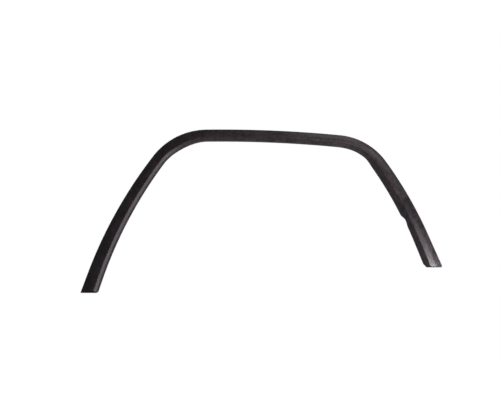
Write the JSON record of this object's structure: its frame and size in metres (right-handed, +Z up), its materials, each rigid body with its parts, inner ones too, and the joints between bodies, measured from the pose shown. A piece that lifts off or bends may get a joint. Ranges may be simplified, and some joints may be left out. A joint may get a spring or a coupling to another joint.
{
  "type": "wheel arch trim",
  "caption": "Moulded plastic trim that frames a car's wheel opening, with a crowned face, a return flange and clip seats behind.",
  "frame": {"origin": "middle of the tape land at the outer edge's highest point, on the back plane", "axes": "+X along the car, to the right as seen from outside; +Y into the car's wing, away from the viewer; +Z up"},
  "size_m": [1.0006, 0.0437, 0.453],
  "materials": {
    "black_plastic": "fine moulded grain, semi-matt"
  },
  "bodies": {
    "root": {"arch_trim": "black_plastic"}
  },
  "joints": []
}
